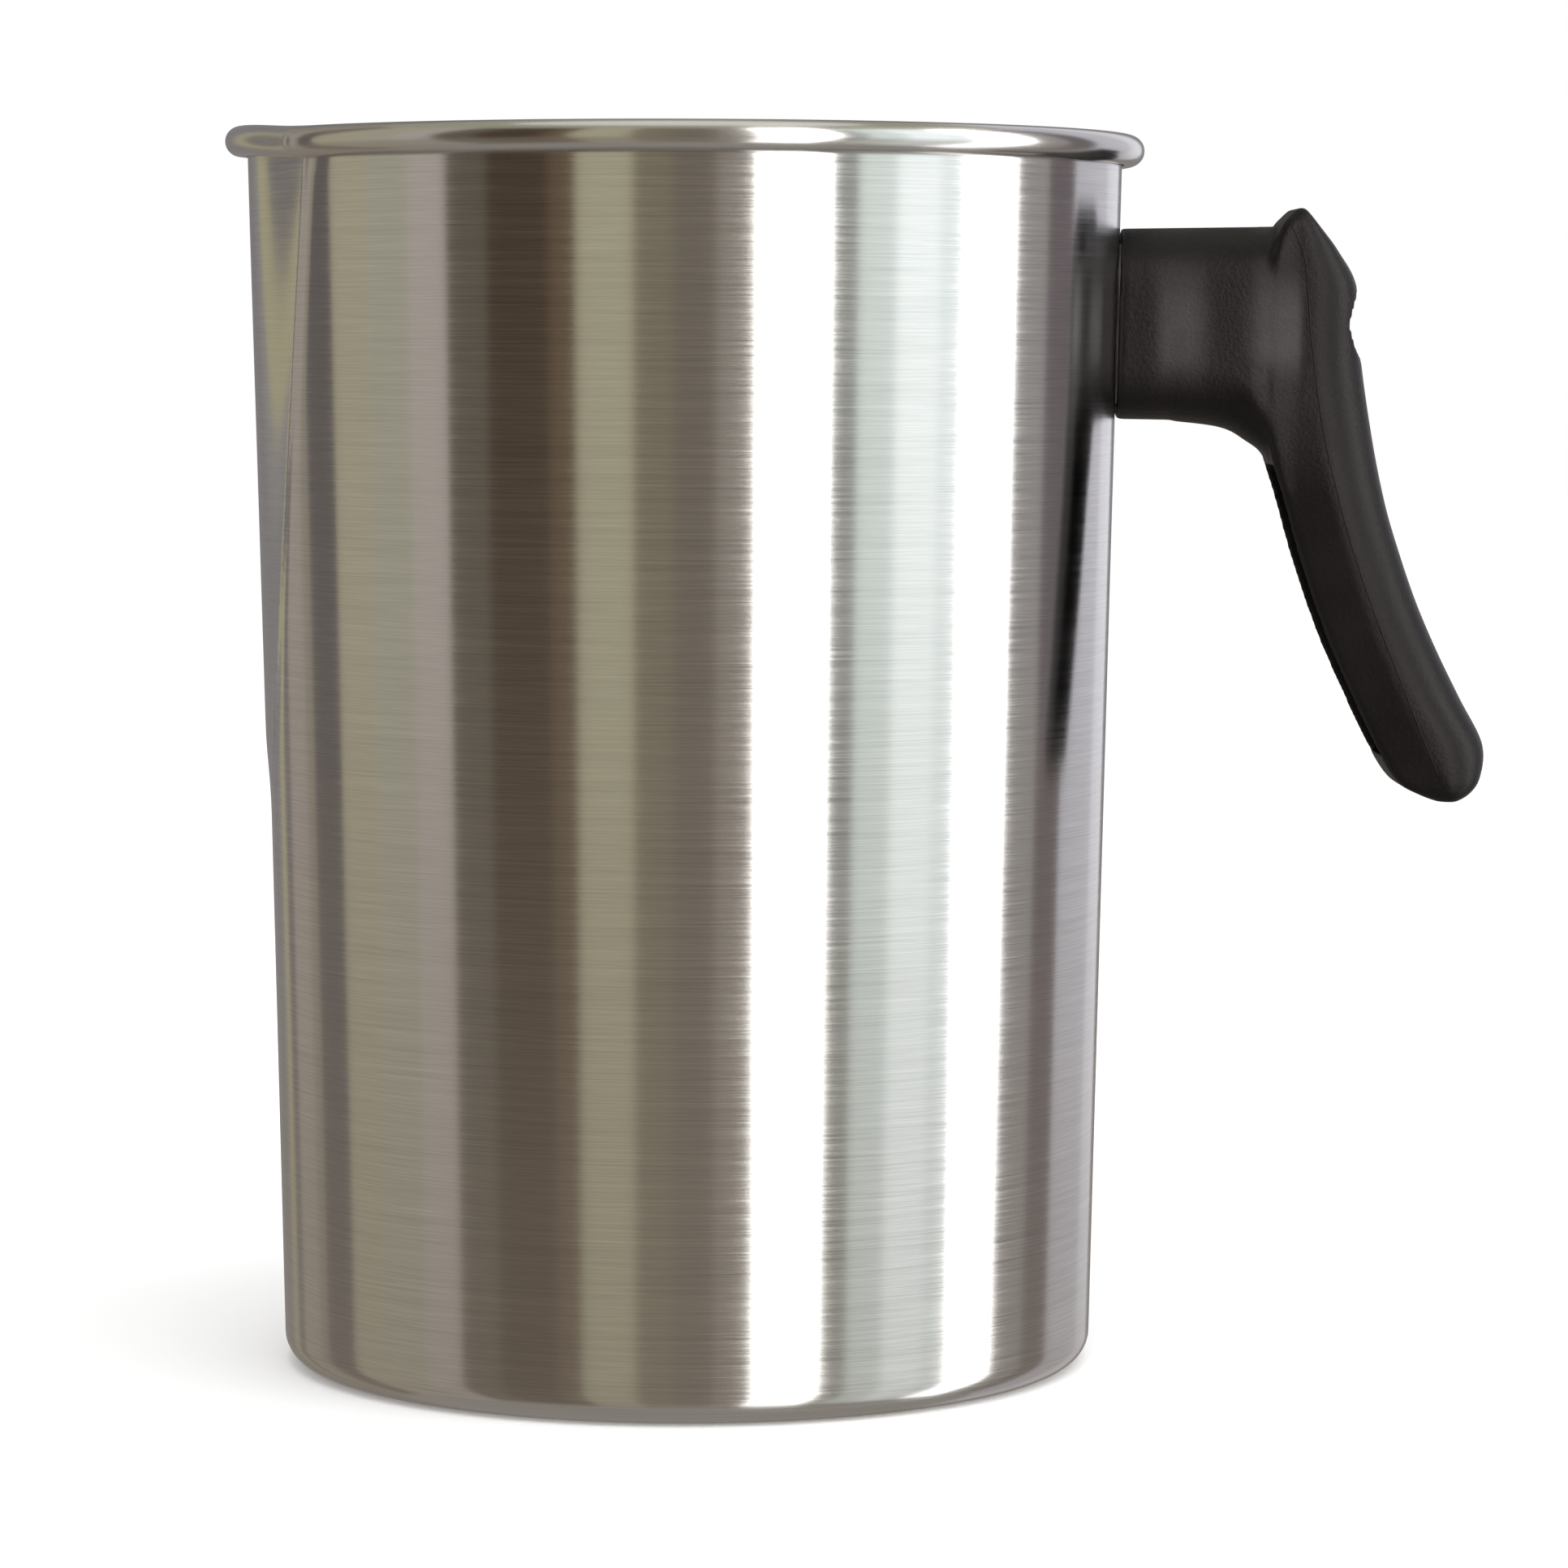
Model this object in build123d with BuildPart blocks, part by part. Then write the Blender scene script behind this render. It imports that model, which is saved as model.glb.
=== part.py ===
"""Candle melting pot: a drawn steel can with a rolled rim and a pressed V spout, and a
moulded handle that one long screw pulls onto a bracket welded to the wall.

Millimetres. +Z is up, the origin is the centre of the base where it meets the table,
the handle points along +X and the spout along -X."""

import os
from math import acos, cos, degrees, hypot, radians, sin, sqrt

from build123d import *

# ---- pot ----
POT_HEIGHT = 227.0
BASE_RADIUS = 75.0
MOUTH_RADIUS = 80.0
SHEET = 0.8
CORNER_RADIUS = 5.5
CURL_RADIUS = 2.6
CURL_OFFSET = 1.4  # from the wall's outer face to the middle of the curl
CURL_START = -170.0  # the rolled edge runs from inside the wall, over the top ...
CURL_SWEEP = -300.0  # ... and round underneath, leaving a gap beside the wall
CURL_OVERLAP = 0.6

# ---- spout ----
SPOUT_FOOT = 100.0
SPOUT_HALF_ANGLE = 32.5
SPOUT_RISE = 1.5
SPOUT_BLEND = 38.0  # half-angle over which the rim leaves its circle
SIDE_SHARES = (0.2, 0.5, 0.82)  # where the rim is held to the spout's flat side
RIDGE_STEP = 1.1
RIDGE_RUN_IN = 10.0
RIDGE_STRETCH = 0.4
RIDGE_HALF_WIDTH = 2.4
NARROWEST = 5.0
SECTION_SHARES = (0.0, 0.04, 0.09, 0.16, 0.28, 0.44, 0.62, 0.81, 1.0)

# ---- handle ----
HANDLE_WIDTH = 21.0
NECK_HEIGHT = 35.0
NECK_AXIS = 192.6
NECK_GAP = 0.3  # between the moulding and the wall
NECK_FLARE = 1.2  # how much taller the neck is at the grip than at the wall
NECK_END = 112.0
# Rungs across the grip's side view, front edge to back edge, from the thumb peak down
# over the crown and the back to the toe: ((x, z) front, (x, z) back, corner radius).
RUNGS = (
    ((110.6, 213.2), (114.4, 213.6), 1.2),
    ((108.4, 209.6), (118.2, 209.2), 3.5),
    ((106.4, 200.0), (123.2, 199.6), 6.5),
    ((105.8, 186.0), (124.4, 186.4), 7.5),
    ((106.2, 171.0), (126.8, 171.2), 7.5),
    ((110.2, 159.5), (129.4, 159.5), 7.5),
    ((116.4, 141.4), (135.3, 141.4), 7.5),
    ((122.4, 125.2), (142.8, 125.2), 7.5),
    ((127.4, 114.4), (147.9, 114.8), 7.0),
    ((131.4, 108.4), (147.6, 109.2), 5.5),
    ((135.6, 105.9), (145.2, 106.0), 3.5),
    ((138.8, 104.8), (142.4, 104.8), 1.2),
)
FRONT_CORNER = 1.2
CHANNEL_WALL = 2.8
CHANNEL_DEPTH = 12.0
CHANNEL_LINE = ((125.4, 117.0), (118.2, 132.3), (111.8, 150.5), (104.5, 167.0))
MOUTH_CLEAR = 1.0
RIB = 2.0
RIB_RECESS = 5.0
RIB_HEIGHTS = (131.0, 143.0, 155.0)

# ---- fixing on the neck's axis: bracket, nut, screw and washers ----
SOCKET_WALL = 2.4
FLANGE = 1.2
FLANGE_SLACK = 0.25
WELD_GAP = 0.05
CUP_WIDTH = 13.2
CUP_HEIGHT = 18.0
CUP_END = 87.8
NUT_FLATS = 10.0
NUT_DEPTH = 4.8
THREAD = 6.0
THREAD_SLACK = 0.05
CUP_HOLE = 6.4
SHANK_HOLE = 6.8
COUNTERBORE = 12.6
SHOULDER_X = 108.4
WASHER_OUTER = 12.0
WASHER_HOLE = 6.4
WASHER_THICK = 1.2
SPRING_OUTER = 10.6
SPRING_THICK = 1.6
SPRING_CUT = 1.4
SPRING_TWIST = 25.0
SCREW_LENGTH = 30.0
HEAD_DIAMETER = 10.8
HEAD_HEIGHT = 4.0
HEAD_EDGE = 1.6
DRIVE_SPAN = 5.6
DRIVE_WIDTH = 1.5
DRIVE_DEPTH = 2.2

RIM_Z = POT_HEIGHT - CURL_RADIUS
CURL_PATH = MOUTH_RADIUS + CURL_OFFSET


def wall_radius(z, inset=0.0):
    """Radius of the can's round wall at a height, less an inset."""
    return BASE_RADIUS + (MOUTH_RADIUS - BASE_RADIUS) * z / POT_HEIGHT - inset


def crease_angle(z):
    """Half the spout's width at a height, in degrees: a tilted plane cuts the wall there."""
    share = max(z - SPOUT_FOOT, 0.0) / (RIM_Z - SPOUT_FOOT)
    angle = degrees(acos(1 - share * (1 - cos(radians(SPOUT_HALF_ANGLE)))))
    return max(angle, NARROWEST)


def ridge_lift(z):
    """How far the spout's ridge stands out of the round: the press steps it out at the foot,
    and the sheet that the flat sides save pushes it on towards the mouth."""
    a = radians(crease_angle(z))
    saved = wall_radius(z) * (sqrt(a * a - sin(a) ** 2) + cos(a) - 1)
    step = RIDGE_STEP * min(1.0, max(z - SPOUT_FOOT, 0.0) / RIDGE_RUN_IN)
    return step + RIDGE_STRETCH * saved


def spout_corners(z, inset):
    """Crease, shoulder and ridge of the spout at a height, on its +Y side."""
    radius = wall_radius(z, inset)
    a = radians(crease_angle(z))
    crease = (-radius * cos(a), radius * sin(a))
    tip = radius + ridge_lift(z)
    slope = (tip + crease[0]) / crease[1]
    shoulder = (slope * RIDGE_HALF_WIDTH - tip, RIDGE_HALF_WIDTH)
    ridge = (shoulder[0] - slope * RIDGE_HALF_WIDTH / 2, 0)
    return crease, shoulder, ridge


def outline(z, inset):
    """The can's closed outline at a height: the round, two flat sides and the ridge."""
    crease, shoulder, ridge = spout_corners(z, inset)
    a = crease_angle(z)
    with BuildSketch(Plane.XY.offset(z)) as section:
        with BuildLine():
            CenterArc((0, 0), wall_radius(z, inset), a - 180, 360 - 2 * a)
            Line(crease, shoulder)
            ThreePointArc(shoulder, ridge, (shoulder[0], -shoulder[1]))
            Line((shoulder[0], -shoulder[1]), (crease[0], -crease[1]))
        make_face()
    return section.sketch


def filled_can(inset, top):
    """The can as a solid: turned up to the spout's foot, lofted from there to the top."""
    reach = top - SPOUT_FOOT
    with BuildPart() as can:
        with BuildSketch(Plane.XZ):
            with BuildLine():
                Polyline(
                    (0, SPOUT_FOOT),
                    (0, inset),
                    (wall_radius(inset, inset), inset),
                    (wall_radius(SPOUT_FOOT, inset), SPOUT_FOOT),
                    close=True,
                )
            make_face()
        revolve(axis=Axis.Z)
        fillet(can.edges().group_by(Axis.Z)[0], CORNER_RADIUS - inset)
        for share in SECTION_SHARES:
            add(outline(SPOUT_FOOT + reach * share, inset))
        loft(ruled=True)
    return can.part


def rolled_rim():
    """The curled edge: one half is swept from the handle side to the spout, then mirrored."""
    crease, shoulder, ridge = spout_corners(RIM_Z, -CURL_OFFSET)
    side = [
        (
            crease[0] + (shoulder[0] - crease[0]) * share,
            crease[1] + (shoulder[1] - crease[1]) * share,
            RIM_Z + SPOUT_RISE * share * share * (3 - 2 * share),
        )
        for share in SIDE_SHARES
    ]
    with BuildPart() as curl:
        with BuildLine() as run:
            around = CenterArc((0, 0, RIM_Z), CURL_PATH, 0, 180 - SPOUT_BLEND)
            Spline(
                around @ 1,
                *side,
                (ridge[0], 0, RIM_Z + SPOUT_RISE),
                tangents=(around % 1, (0, -1, 0)),
            )
        with BuildSketch(Plane.XZ):
            with BuildLine():
                centre = (CURL_PATH, RIM_Z)
                outer = CenterArc(centre, CURL_RADIUS, CURL_START, CURL_SWEEP)
                inner = CenterArc(centre, CURL_RADIUS - SHEET, CURL_START, CURL_SWEEP)
                Line(outer @ 0, inner @ 0)
                Line(outer @ 1, inner @ 1)
            make_face()
        sweep(path=run.line)
        mirror(about=Plane.XZ)
    return curl.part



def rung_plane(front, back):
    """The plane across the grip that holds a rung of its side view."""
    middle = ((front[0] + back[0]) / 2, 0, (front[1] + back[1]) / 2)
    run = (back[0] - front[0], 0, back[1] - front[1])
    return Plane(origin=middle, x_dir=run, z_dir=(-run[2], 0, run[0]))


def rib_x(z):
    """Middle of a stiffening rib: it stops short of the channel's mouth."""
    (low_x, low_z), (high_x, high_z) = CHANNEL_LINE[1:3]
    front = low_x + (high_x - low_x) * (z - low_z) / (high_z - low_z)
    return front + RIB_RECESS + CHANNEL_DEPTH / 2


def filled_round(gap):
    """Everything inside the round wall, grown by a gap."""
    with BuildPart() as core:
        with Locations((0, 0, POT_HEIGHT / 2)):
            Cone(wall_radius(0) + gap, wall_radius(POT_HEIGHT) + gap, POT_HEIGHT)
    return core.part


def across_neck(x):
    """A plane across the neck at a distance from the pot's axis, facing the grip."""
    return Plane(origin=(x, 0, NECK_AXIS), x_dir=(0, 0, 1), z_dir=(1, 0, 0))


# ---- pot body ----
outer_can = filled_can(0.0, RIM_Z + CURL_OVERLAP)
inner_can = filled_can(SHEET, POT_HEIGHT + 5.0)
curled_edge = rolled_rim()
with BuildPart() as pot_body:
    add(outer_can)
    add(curled_edge)
    add(inner_can, mode=Mode.SUBTRACT)

# ---- handle ----
with BuildPart() as handle:
    # the grip, with its peak, crown, heel and toe
    for front, back, corner in RUNGS:
        with BuildSketch(rung_plane(front, back)) as rung:
            Rectangle(hypot(back[0] - front[0], back[1] - front[1]), HANDLE_WIDTH)
            fillet(rung.vertices().group_by(Axis.X)[-1], corner)
            fillet(rung.vertices().group_by(Axis.X)[0], FRONT_CORNER)
    loft()
    # the neck, taller at the grip
    with BuildSketch(across_neck(MOUTH_RADIUS - 6)):
        SlotOverall(NECK_HEIGHT, HANDLE_WIDTH - 0.6)
    with BuildSketch(across_neck(NECK_END)):
        SlotOverall(NECK_HEIGHT + NECK_FLARE, HANDLE_WIDTH)
    loft()
    add(filled_round(NECK_GAP), mode=Mode.SUBTRACT)
    # the finger channel up the front of the grip, crossed by stiffening ribs
    with BuildSketch(Plane.XZ.offset(-HANDLE_WIDTH / 2 + CHANNEL_WALL)):
        with BuildLine():
            mouth = Spline(CHANNEL_LINE)
            bed = Spline([(x + CHANNEL_DEPTH + MOUTH_CLEAR, z) for x, z in reversed(CHANNEL_LINE)])
            Line(mouth @ 1, bed @ 0)
            Line(bed @ 1, mouth @ 0)
        make_face()
    extrude(amount=HANDLE_WIDTH - 2 * CHANNEL_WALL, mode=Mode.SUBTRACT)
    for height in RIB_HEIGHTS:
        with Locations((rib_x(height), 0, height)):
            Box(CHANNEL_DEPTH, HANDLE_WIDTH - 2 * CHANNEL_WALL + 1, RIB)
    # the recess that drops over the bracket
    with BuildSketch(across_neck(CUP_END)):
        SlotOverall(NECK_HEIGHT - 2 * SOCKET_WALL, HANDLE_WIDTH - 2 * SOCKET_WALL)
    extrude(amount=-40, mode=Mode.SUBTRACT)
    # the screw's bore and the deep hole for its head
    with BuildSketch(across_neck(CUP_END - 1)):
        Circle(SHANK_HOLE / 2)
    extrude(amount=60, mode=Mode.SUBTRACT)
    with BuildSketch(across_neck(SHOULDER_X)):
        Circle(COUNTERBORE / 2)
    extrude(amount=40, mode=Mode.SUBTRACT)

# ---- bracket: a saddle spot-welded to the wall, with a raised cup for the nut ----
with BuildPart() as handle_bracket:
    with BuildSketch(across_neck(MOUTH_RADIUS - 6)):
        SlotOverall(
            NECK_HEIGHT - 2 * (SOCKET_WALL + FLANGE_SLACK),
            HANDLE_WIDTH - 2 * (SOCKET_WALL + FLANGE_SLACK),
        )
    extrude(amount=20)
    add(filled_round(WELD_GAP + FLANGE), mode=Mode.INTERSECT)
    with BuildSketch(across_neck(MOUTH_RADIUS - 6)):
        SlotOverall(CUP_HEIGHT, CUP_WIDTH)
    extrude(amount=CUP_END - MOUTH_RADIUS + 6)
    with BuildSketch(across_neck(CUP_END - FLANGE)):
        SlotOverall(CUP_HEIGHT - 2 * FLANGE, CUP_WIDTH - 2 * FLANGE)
    extrude(amount=-20, mode=Mode.SUBTRACT)
    with BuildSketch(across_neck(CUP_END - 5)):
        Circle(CUP_HOLE / 2)
    extrude(amount=10, mode=Mode.SUBTRACT)
    add(filled_round(WELD_GAP), mode=Mode.SUBTRACT)

# ---- nut, held in the cup ----
with BuildPart() as weld_nut:
    with BuildSketch(across_neck(CUP_END - FLANGE - NUT_DEPTH)):
        RegularPolygon(NUT_FLATS / 2, 6, major_radius=False, rotation=0)
        Circle(THREAD / 2 + THREAD_SLACK, mode=Mode.SUBTRACT)
    extrude(amount=NUT_DEPTH)

# ---- screw, with a domed head and a cross recess ----
head_seat = SHOULDER_X + WASHER_THICK + SPRING_THICK
with BuildPart() as handle_screw:
    with BuildSketch(across_neck(head_seat)):
        Circle(THREAD / 2)
    extrude(amount=-SCREW_LENGTH)
    chamfer(handle_screw.faces().sort_by(Axis.X)[0].edges(), 0.6)
    with BuildSketch(across_neck(head_seat)):
        Circle(HEAD_DIAMETER / 2)
    extrude(amount=HEAD_HEIGHT)
    fillet(handle_screw.faces().sort_by(Axis.X)[-1].edges(), HEAD_EDGE)
    with BuildSketch(across_neck(head_seat + HEAD_HEIGHT)):
        Rectangle(DRIVE_SPAN, DRIVE_WIDTH)
        Rectangle(DRIVE_WIDTH, DRIVE_SPAN)
    extrude(amount=-DRIVE_DEPTH, taper=8, mode=Mode.SUBTRACT)

# ---- washers under the head ----
with BuildPart() as flat_washer:
    with BuildSketch(across_neck(SHOULDER_X)):
        Circle(WASHER_OUTER / 2)
        Circle(WASHER_HOLE / 2, mode=Mode.SUBTRACT)
    extrude(amount=WASHER_THICK)

with BuildPart() as spring_washer:
    with BuildSketch(across_neck(SHOULDER_X + WASHER_THICK)):
        Circle(SPRING_OUTER / 2)
        Circle(WASHER_HOLE / 2, mode=Mode.SUBTRACT)
        with Locations((SPRING_OUTER / 2, 0)):
            Rectangle(SPRING_OUTER, SPRING_CUT, rotation=SPRING_TWIST, mode=Mode.SUBTRACT)
    extrude(amount=SPRING_THICK)

pieces = {
    "pot_body": pot_body,
    "handle": handle,
    "handle_bracket": handle_bracket,
    "weld_nut": weld_nut,
    "handle_screw": handle_screw,
    "flat_washer": flat_washer,
    "spring_washer": spring_washer,
}
os.makedirs("parts", exist_ok=True)
for name, piece in pieces.items():
    piece.part.label = name
    export_step(piece.part, f"parts/{name}.step")
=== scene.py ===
"""Candle melting pot: a brushed steel can with a rolled rim and a pressed pouring spout, a
black moulded handle on one long screw, and the small studio that it stands in."""

from math import cos, hypot, pi, radians, sin, tau

import bmesh
import bpy
from mathutils import Matrix, Vector


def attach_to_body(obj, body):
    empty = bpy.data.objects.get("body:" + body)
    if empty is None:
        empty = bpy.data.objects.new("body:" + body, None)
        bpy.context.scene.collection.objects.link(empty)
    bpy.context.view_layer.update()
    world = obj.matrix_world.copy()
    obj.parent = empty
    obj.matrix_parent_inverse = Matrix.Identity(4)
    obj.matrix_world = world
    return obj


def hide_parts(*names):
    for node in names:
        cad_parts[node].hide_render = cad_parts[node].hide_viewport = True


bl_info = {
    "name": "Candle melting pot",
    "version": (1, 0, 0),
    "blender": (4, 5, 0),
    "location": "3D View > Sidebar > Melting pot",
    "description": "Makes a steel candle melting pot, its moulded handle and a plain studio",
    "category": "Object",
}

MM = 0.001

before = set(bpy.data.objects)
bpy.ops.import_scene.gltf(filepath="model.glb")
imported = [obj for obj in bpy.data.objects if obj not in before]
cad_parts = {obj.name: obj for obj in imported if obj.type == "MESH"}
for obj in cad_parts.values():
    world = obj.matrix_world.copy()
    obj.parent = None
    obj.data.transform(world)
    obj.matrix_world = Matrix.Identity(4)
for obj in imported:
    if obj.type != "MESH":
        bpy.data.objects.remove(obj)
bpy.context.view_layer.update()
ROOT = "root"


# ------------------------------------------------------------------ node expressions


class Sum:
    """A node socket that does arithmetic: each operator adds the node that it needs."""

    def __init__(self, tree, socket):
        self.tree = tree
        self.socket = socket

    def _maths(self, operation, *values):
        node = self.tree.nodes.new("ShaderNodeMath")
        node.operation = operation
        for slot, value in zip(node.inputs, values):
            plug(self.tree, slot, value)
        return Sum(self.tree, node.outputs[0])

    def __add__(self, other):
        return self._maths("ADD", self, other)

    def __radd__(self, other):
        return self._maths("ADD", other, self)

    def __sub__(self, other):
        return self._maths("SUBTRACT", self, other)

    def __rsub__(self, other):
        return self._maths("SUBTRACT", other, self)

    def __mul__(self, other):
        return self._maths("MULTIPLY", self, other)

    def __rmul__(self, other):
        return self._maths("MULTIPLY", other, self)

    def __truediv__(self, other):
        return self._maths("DIVIDE", self, other)

    def __pow__(self, other):
        return self._maths("POWER", self, other)

    def __neg__(self):
        return self._maths("MULTIPLY", self, -1.0)

    def __abs__(self):
        return self._maths("ABSOLUTE", self)

    def root(self):
        return self._maths("SQRT", self)

    def sine(self):
        return self._maths("SINE", self)

    def cosine(self):
        return self._maths("COSINE", self)

    def arccos(self):
        return self._maths("ARCCOSINE", self)

    def angle_to(self, other):
        return self._maths("ARCTAN2", self, other)

    def least(self, other):
        return self._maths("MINIMUM", self, other)

    def most(self, other):
        return self._maths("MAXIMUM", self, other)

    def soft_least(self, other, reach):
        return self._maths("SMOOTH_MIN", self, other, reach)

    def ramp(self, low, high, smooth=True):
        """0 below low, 1 above high."""
        node = self.tree.nodes.new("ShaderNodeMapRange")
        node.interpolation_type = "SMOOTHSTEP" if smooth else "LINEAR"
        for slot, value in zip(node.inputs, (self, low, high, 0.0, 1.0)):
            plug(self.tree, slot, value)
        return Sum(self.tree, node.outputs[0])


def plug(tree, slot, value):
    """Put a number, a colour, a socket or an expression into an input."""
    if isinstance(value, Sum):
        tree.links.new(value.socket, slot)
    elif isinstance(value, bpy.types.NodeSocket):
        tree.links.new(value, slot)
    else:
        slot.default_value = value


def add_node(tree, kind, settings=None, out=0, **values):
    """Add a node, set it up, fill its sockets by name, and give back one of its outputs."""
    node = tree.nodes.new(kind)
    for name, value in (settings or {}).items():
        setattr(node, name, value)
    for name, value in values.items():
        slot = next(s for s in node.inputs if plain(s.name) == name and s.enabled)
        plug(tree, slot, value)
    return Sum(tree, node.outputs[out])


def vector(tree, x, y, z):
    """Three numbers or expressions as one vector."""
    node = tree.nodes.new("ShaderNodeCombineXYZ")
    for slot, value in zip(node.inputs, (x, y, z)):
        plug(tree, slot, value)
    return Sum(tree, node.outputs[0])


def plain(name):
    return name.lower().replace(" ", "_")


# ------------------------------------------------------------------ materials


class Finish:
    """A material in the making: its tree, its shader and the coordinates that it reads."""

    def __init__(self, name):
        self.material = bpy.data.materials.new(name)
        self.material.use_nodes = True
        self.tree = self.material.node_tree
        self.shader = self.tree.nodes["Principled BSDF"]
        place = self.tree.nodes.new("ShaderNodeTexCoord")
        self.place = place.outputs["Object"]
        parts = self.tree.nodes.new("ShaderNodeSeparateXYZ")
        self.tree.links.new(self.place, parts.inputs[0])
        self.x, self.y, self.z = (Sum(self.tree, s) for s in parts.outputs)

    def set(self, **values):
        for name, value in values.items():
            slot = next(s for s in self.shader.inputs if plain(s.name) == name)
            plug(self.tree, slot, value)

    def stretched(self, x, y, z, shift=0.0):
        """The object's coordinates, scaled differently along each axis."""
        return vector(self.tree, self.x * x + shift, self.y * y, self.z * z)

    def noise(self, where, scale, detail=2.0, roughness=0.5):
        return add_node(
            self.tree, "ShaderNodeTexNoise", vector=where, scale=scale, detail=detail, roughness=roughness
        )

    def cells(self, where, scale, feature="F1"):
        return add_node(
            self.tree, "ShaderNodeTexVoronoi", {"feature": feature}, vector=where, scale=scale
        )

    def blend(self, share, first, second):
        """Mix two colours."""
        node = self.tree.nodes.new("ShaderNodeMix")
        node.data_type = "RGBA"
        for slot, value in ((node.inputs[0], share), (node.inputs[6], first), (node.inputs[7], second)):
            plug(self.tree, slot, value)
        return Sum(self.tree, node.outputs[2])

    def bump(self, height, strength, depth, under=None):
        values = {"height": height, "strength": strength, "distance": depth}
        if under is not None:
            values["normal"] = under
        return add_node(self.tree, "ShaderNodeBump", **values)


def brushed_can():
    """Stainless sheet brushed round the can. The hairlines run level round the wall, and the
    base is brushed in rings."""
    f = Finish("brushed stainless")
    out_from_axis = (f.x * f.x + f.y * f.y).root()
    on_base = 1 - f.z.ramp(0.0006, 0.0045)
    bead = f.z.ramp(0.2208, 0.2222)
    ring_lines = vector(f.tree, out_from_axis * 5200.0, f.z * 900.0, 0.0)
    fine = f.noise(f.stretched(46.0, 46.0, 4300.0), 1.0, 3.0, 0.65)
    medium = f.noise(f.stretched(24.0, 24.0, 1500.0, 5.0), 1.0, 3.0, 0.6)
    broad = f.noise(f.stretched(6.0, 6.0, 420.0, 9.0), 1.0, 3.0, 0.6)
    rings = f.noise(ring_lines, 1.0, 3.0, 0.6)
    patches = f.noise(f.place, 14.0, 3.0, 0.55)
    handled = f.noise(f.place, 42.0, 4.0, 0.6)
    scratch_lines = f.noise(f.stretched(55.0, 55.0, 3600.0, 3.0), 1.0, 1.0, 0.4).ramp(0.70, 0.78)
    brushing = (fine - 0.5) * 0.85 + (medium - 0.5) * 0.28 + (broad - 0.5) * 0.12
    brushing = brushing * (1 - on_base) + (rings - 0.5) * 0.7 * on_base
    polish = 1 - bead * 0.6
    tone = 0.5 + brushing * 1.3 * polish + (patches - 0.5) * 0.14 - scratch_lines * 0.10
    colour = f.blend(tone.ramp(0.0, 1.0, False), (0.455, 0.45, 0.44, 1), (0.755, 0.745, 0.73, 1))
    roughness = 0.165 + (medium - 0.5) * 0.12 * polish + (handled - 0.5) * 0.05 + (fine - 0.5) * 0.08
    height = brushing * polish + scratch_lines * 0.2
    f.set(
        base_color=colour,
        metallic=1.0,
        roughness=roughness + bead * 0.04,
        normal=f.bump(height, 0.16, 0.00005),
        anisotropic=0.86,
        anisotropic_rotation=0.25,
    )
    return f.material


def weld_tint():
    """The straw and grey ring that a spot weld leaves on the inside of the wall."""
    f = Finish("spot weld")
    cloud = f.noise(f.place, 900.0, 3.0, 0.6)
    colour = f.blend(cloud.ramp(0.3, 0.7), (0.30, 0.26, 0.20, 1), (0.48, 0.43, 0.35, 1))
    pits = f.cells(f.place, 2600.0)
    f.set(
        base_color=colour,
        metallic=1.0,
        roughness=0.34 + (cloud - 0.5) * 0.2,
        normal=f.bump(pits + cloud, 0.3, 0.00008),
    )
    return f.material


# Along the neck, in metres: where its side is tilted a little by bump, and where it is given
# more shine. These are set for the look, and stand for nothing that was measured.
NECK_SINKS = ((0.084, 0.096), (0.103, 0.1125))
SHINY_SPOTS = (((0.085, 0.088), (0.091, 0.098)), ((0.100, 0.107), (0.1115, 0.1135)))
SHINY_HEIGHTS = ((0.180, 0.189), (0.194, 0.204))


def moulded_black():
    """Satin black plastic with a fine leathery mould grain and two shinier places on the
    neck's side."""
    f = Finish("satin black moulding")
    warp = f.noise(f.place, 1100.0, 2.0, 0.5)
    hide = f.cells(f.place, 1750.0, "SMOOTH_F1")
    pores = f.noise(f.place, 3400.0, 3.0, 0.6)
    worn = f.noise(f.place, 60.0, 3.0, 0.55)
    flow = f.noise(f.stretched(30.0, 30.0, 90.0, 2.0), 1.0, 2.0, 0.5)
    specks = f.noise(f.place, 5200.0, 1.0, 0.4).ramp(0.72, 0.8)
    grain = hide * 0.55 + (warp - 0.5) * 0.9 + (pores - 0.5) * 0.7
    first, second = (f.x.ramp(*span) for span in NECK_SINKS)
    sink = -1 * first - second
    by_wall, by_grip = (f.x.ramp(*rise) * (1 - f.x.ramp(*fall)) for rise, fall in SHINY_SPOTS)
    low, high = SHINY_HEIGHTS
    spots = (by_wall + by_grip) * f.z.ramp(*low) * (1 - f.z.ramp(*high))
    shine = spots * (0.85 + (worn - 0.5) * 1.8 + (pores - 0.5) * 1.2)
    colour = f.blend(
        (worn * 0.6 + flow * 0.4).ramp(0.3, 0.75), (0.0020, 0.0018, 0.0020, 1), (0.0042, 0.0038, 0.0042, 1)
    )
    colour = f.blend(specks * 0.5, colour, (0.020, 0.019, 0.020, 1))
    f.set(
        base_color=colour,
        roughness=0.43 + (worn - 0.5) * 0.20 + (pores - 0.5) * 0.12,
        normal=f.bump(grain, 0.45, 0.00014, under=f.bump(sink, 1.0, 0.0011)),
        specular_ior_level=0.22,
        coat_weight=shine.ramp(0.0, 1.0, False),
        coat_roughness=0.34,
        specular_tint=(1.0, 0.9, 0.88, 1.0),
    )
    return f.material


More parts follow.
